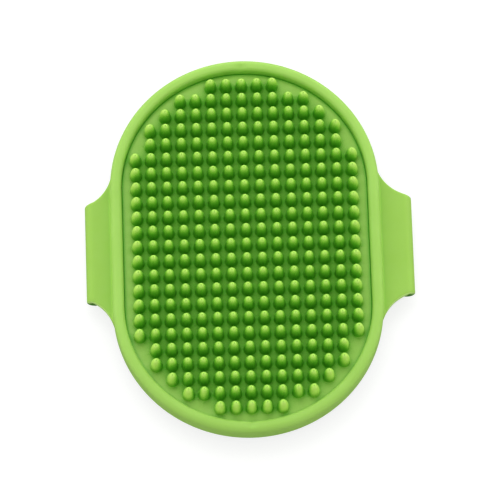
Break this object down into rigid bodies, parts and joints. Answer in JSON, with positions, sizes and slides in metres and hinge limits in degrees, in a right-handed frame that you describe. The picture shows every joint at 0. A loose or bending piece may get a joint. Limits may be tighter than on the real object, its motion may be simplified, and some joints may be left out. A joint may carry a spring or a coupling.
{
  "type": "rubber curry brush",
  "caption": "Oval hand-held grooming brush: soft pad of short conical rubber bristles in a rounded rim, with a flat folded hand strap behind it that opens for a palm.",
  "frame": {"origin": "middle of the body's back face, where the palm presses, in the plane of the back plate's outer face", "axes": "+Z the way the bristles point, +Y along the body's length, +X across it from the left strap ear to the right one; the brush lies on its closed strap, with the back of the strap 5 mm below the origin"},
  "size_m": [0.1089, 0.131, 0.0164],
  "materials": {
    "pad_rubber": "satin soft rubber, lime green",
    "rim_rubber": "satin soft rubber, lime green",
    "strap_rubber": "satin soft rubber, lime green",
    "plate_plastic": "matte moulded plastic, darker green",
    "pin_plastic": "matte moulded plastic, darker green",
    "stud_plastic": "matte moulded plastic, darker green"
  },
  "bodies": {
    "brush": {"bristle_pad": "pad_rubber", "rim_frame": "rim_rubber", "back_plate": "plate_plastic", "left_strap_root": "strap_rubber", "right_strap_root": "strap_rubber", "strap_anchor_pins": "pin_plastic"},
    "left_link": {"left_strap_link": "strap_rubber"},
    "left_end": {"left_strap_end": "strap_rubber"},
    "right_link": {"right_strap_link": "strap_rubber"},
    "right_end": {"right_strap_end": "strap_rubber", "strap_studs": "stud_plastic"}
  },
  "joints": [
    {"name": "left_fold", "type": "hinge", "parent": "brush", "child": "left_link", "pos_m": [-0.0505, 0, 0.0005], "axis": [0, 1, 0], "range_deg": [0, 47]},
    {"name": "left_bend", "type": "hinge", "parent": "left_link", "child": "left_end", "pos_m": [-0.0171, 0, -0.0014], "axis": [0, 1, 0], "range_deg": [-47, 0]},
    {"name": "right_fold", "type": "hinge", "parent": "brush", "child": "right_link", "pos_m": [0.0526, 0, 0.0005], "axis": [0, 1, 0], "range_deg": [-47, 0]},
    {"name": "right_bend", "type": "hinge", "parent": "right_link", "child": "right_end", "pos_m": [0.0192, 0, -0.0014], "axis": [0, 1, 0], "range_deg": [0, 47]}
  ],
  "couplings": [
    {"joint": "left_bend", "follows": "left_fold", "ratio": -1},
    {"joint": "right_fold", "follows": "left_fold", "ratio": -1},
    {"joint": "right_bend", "follows": "left_fold", "ratio": 1}
  ]
}
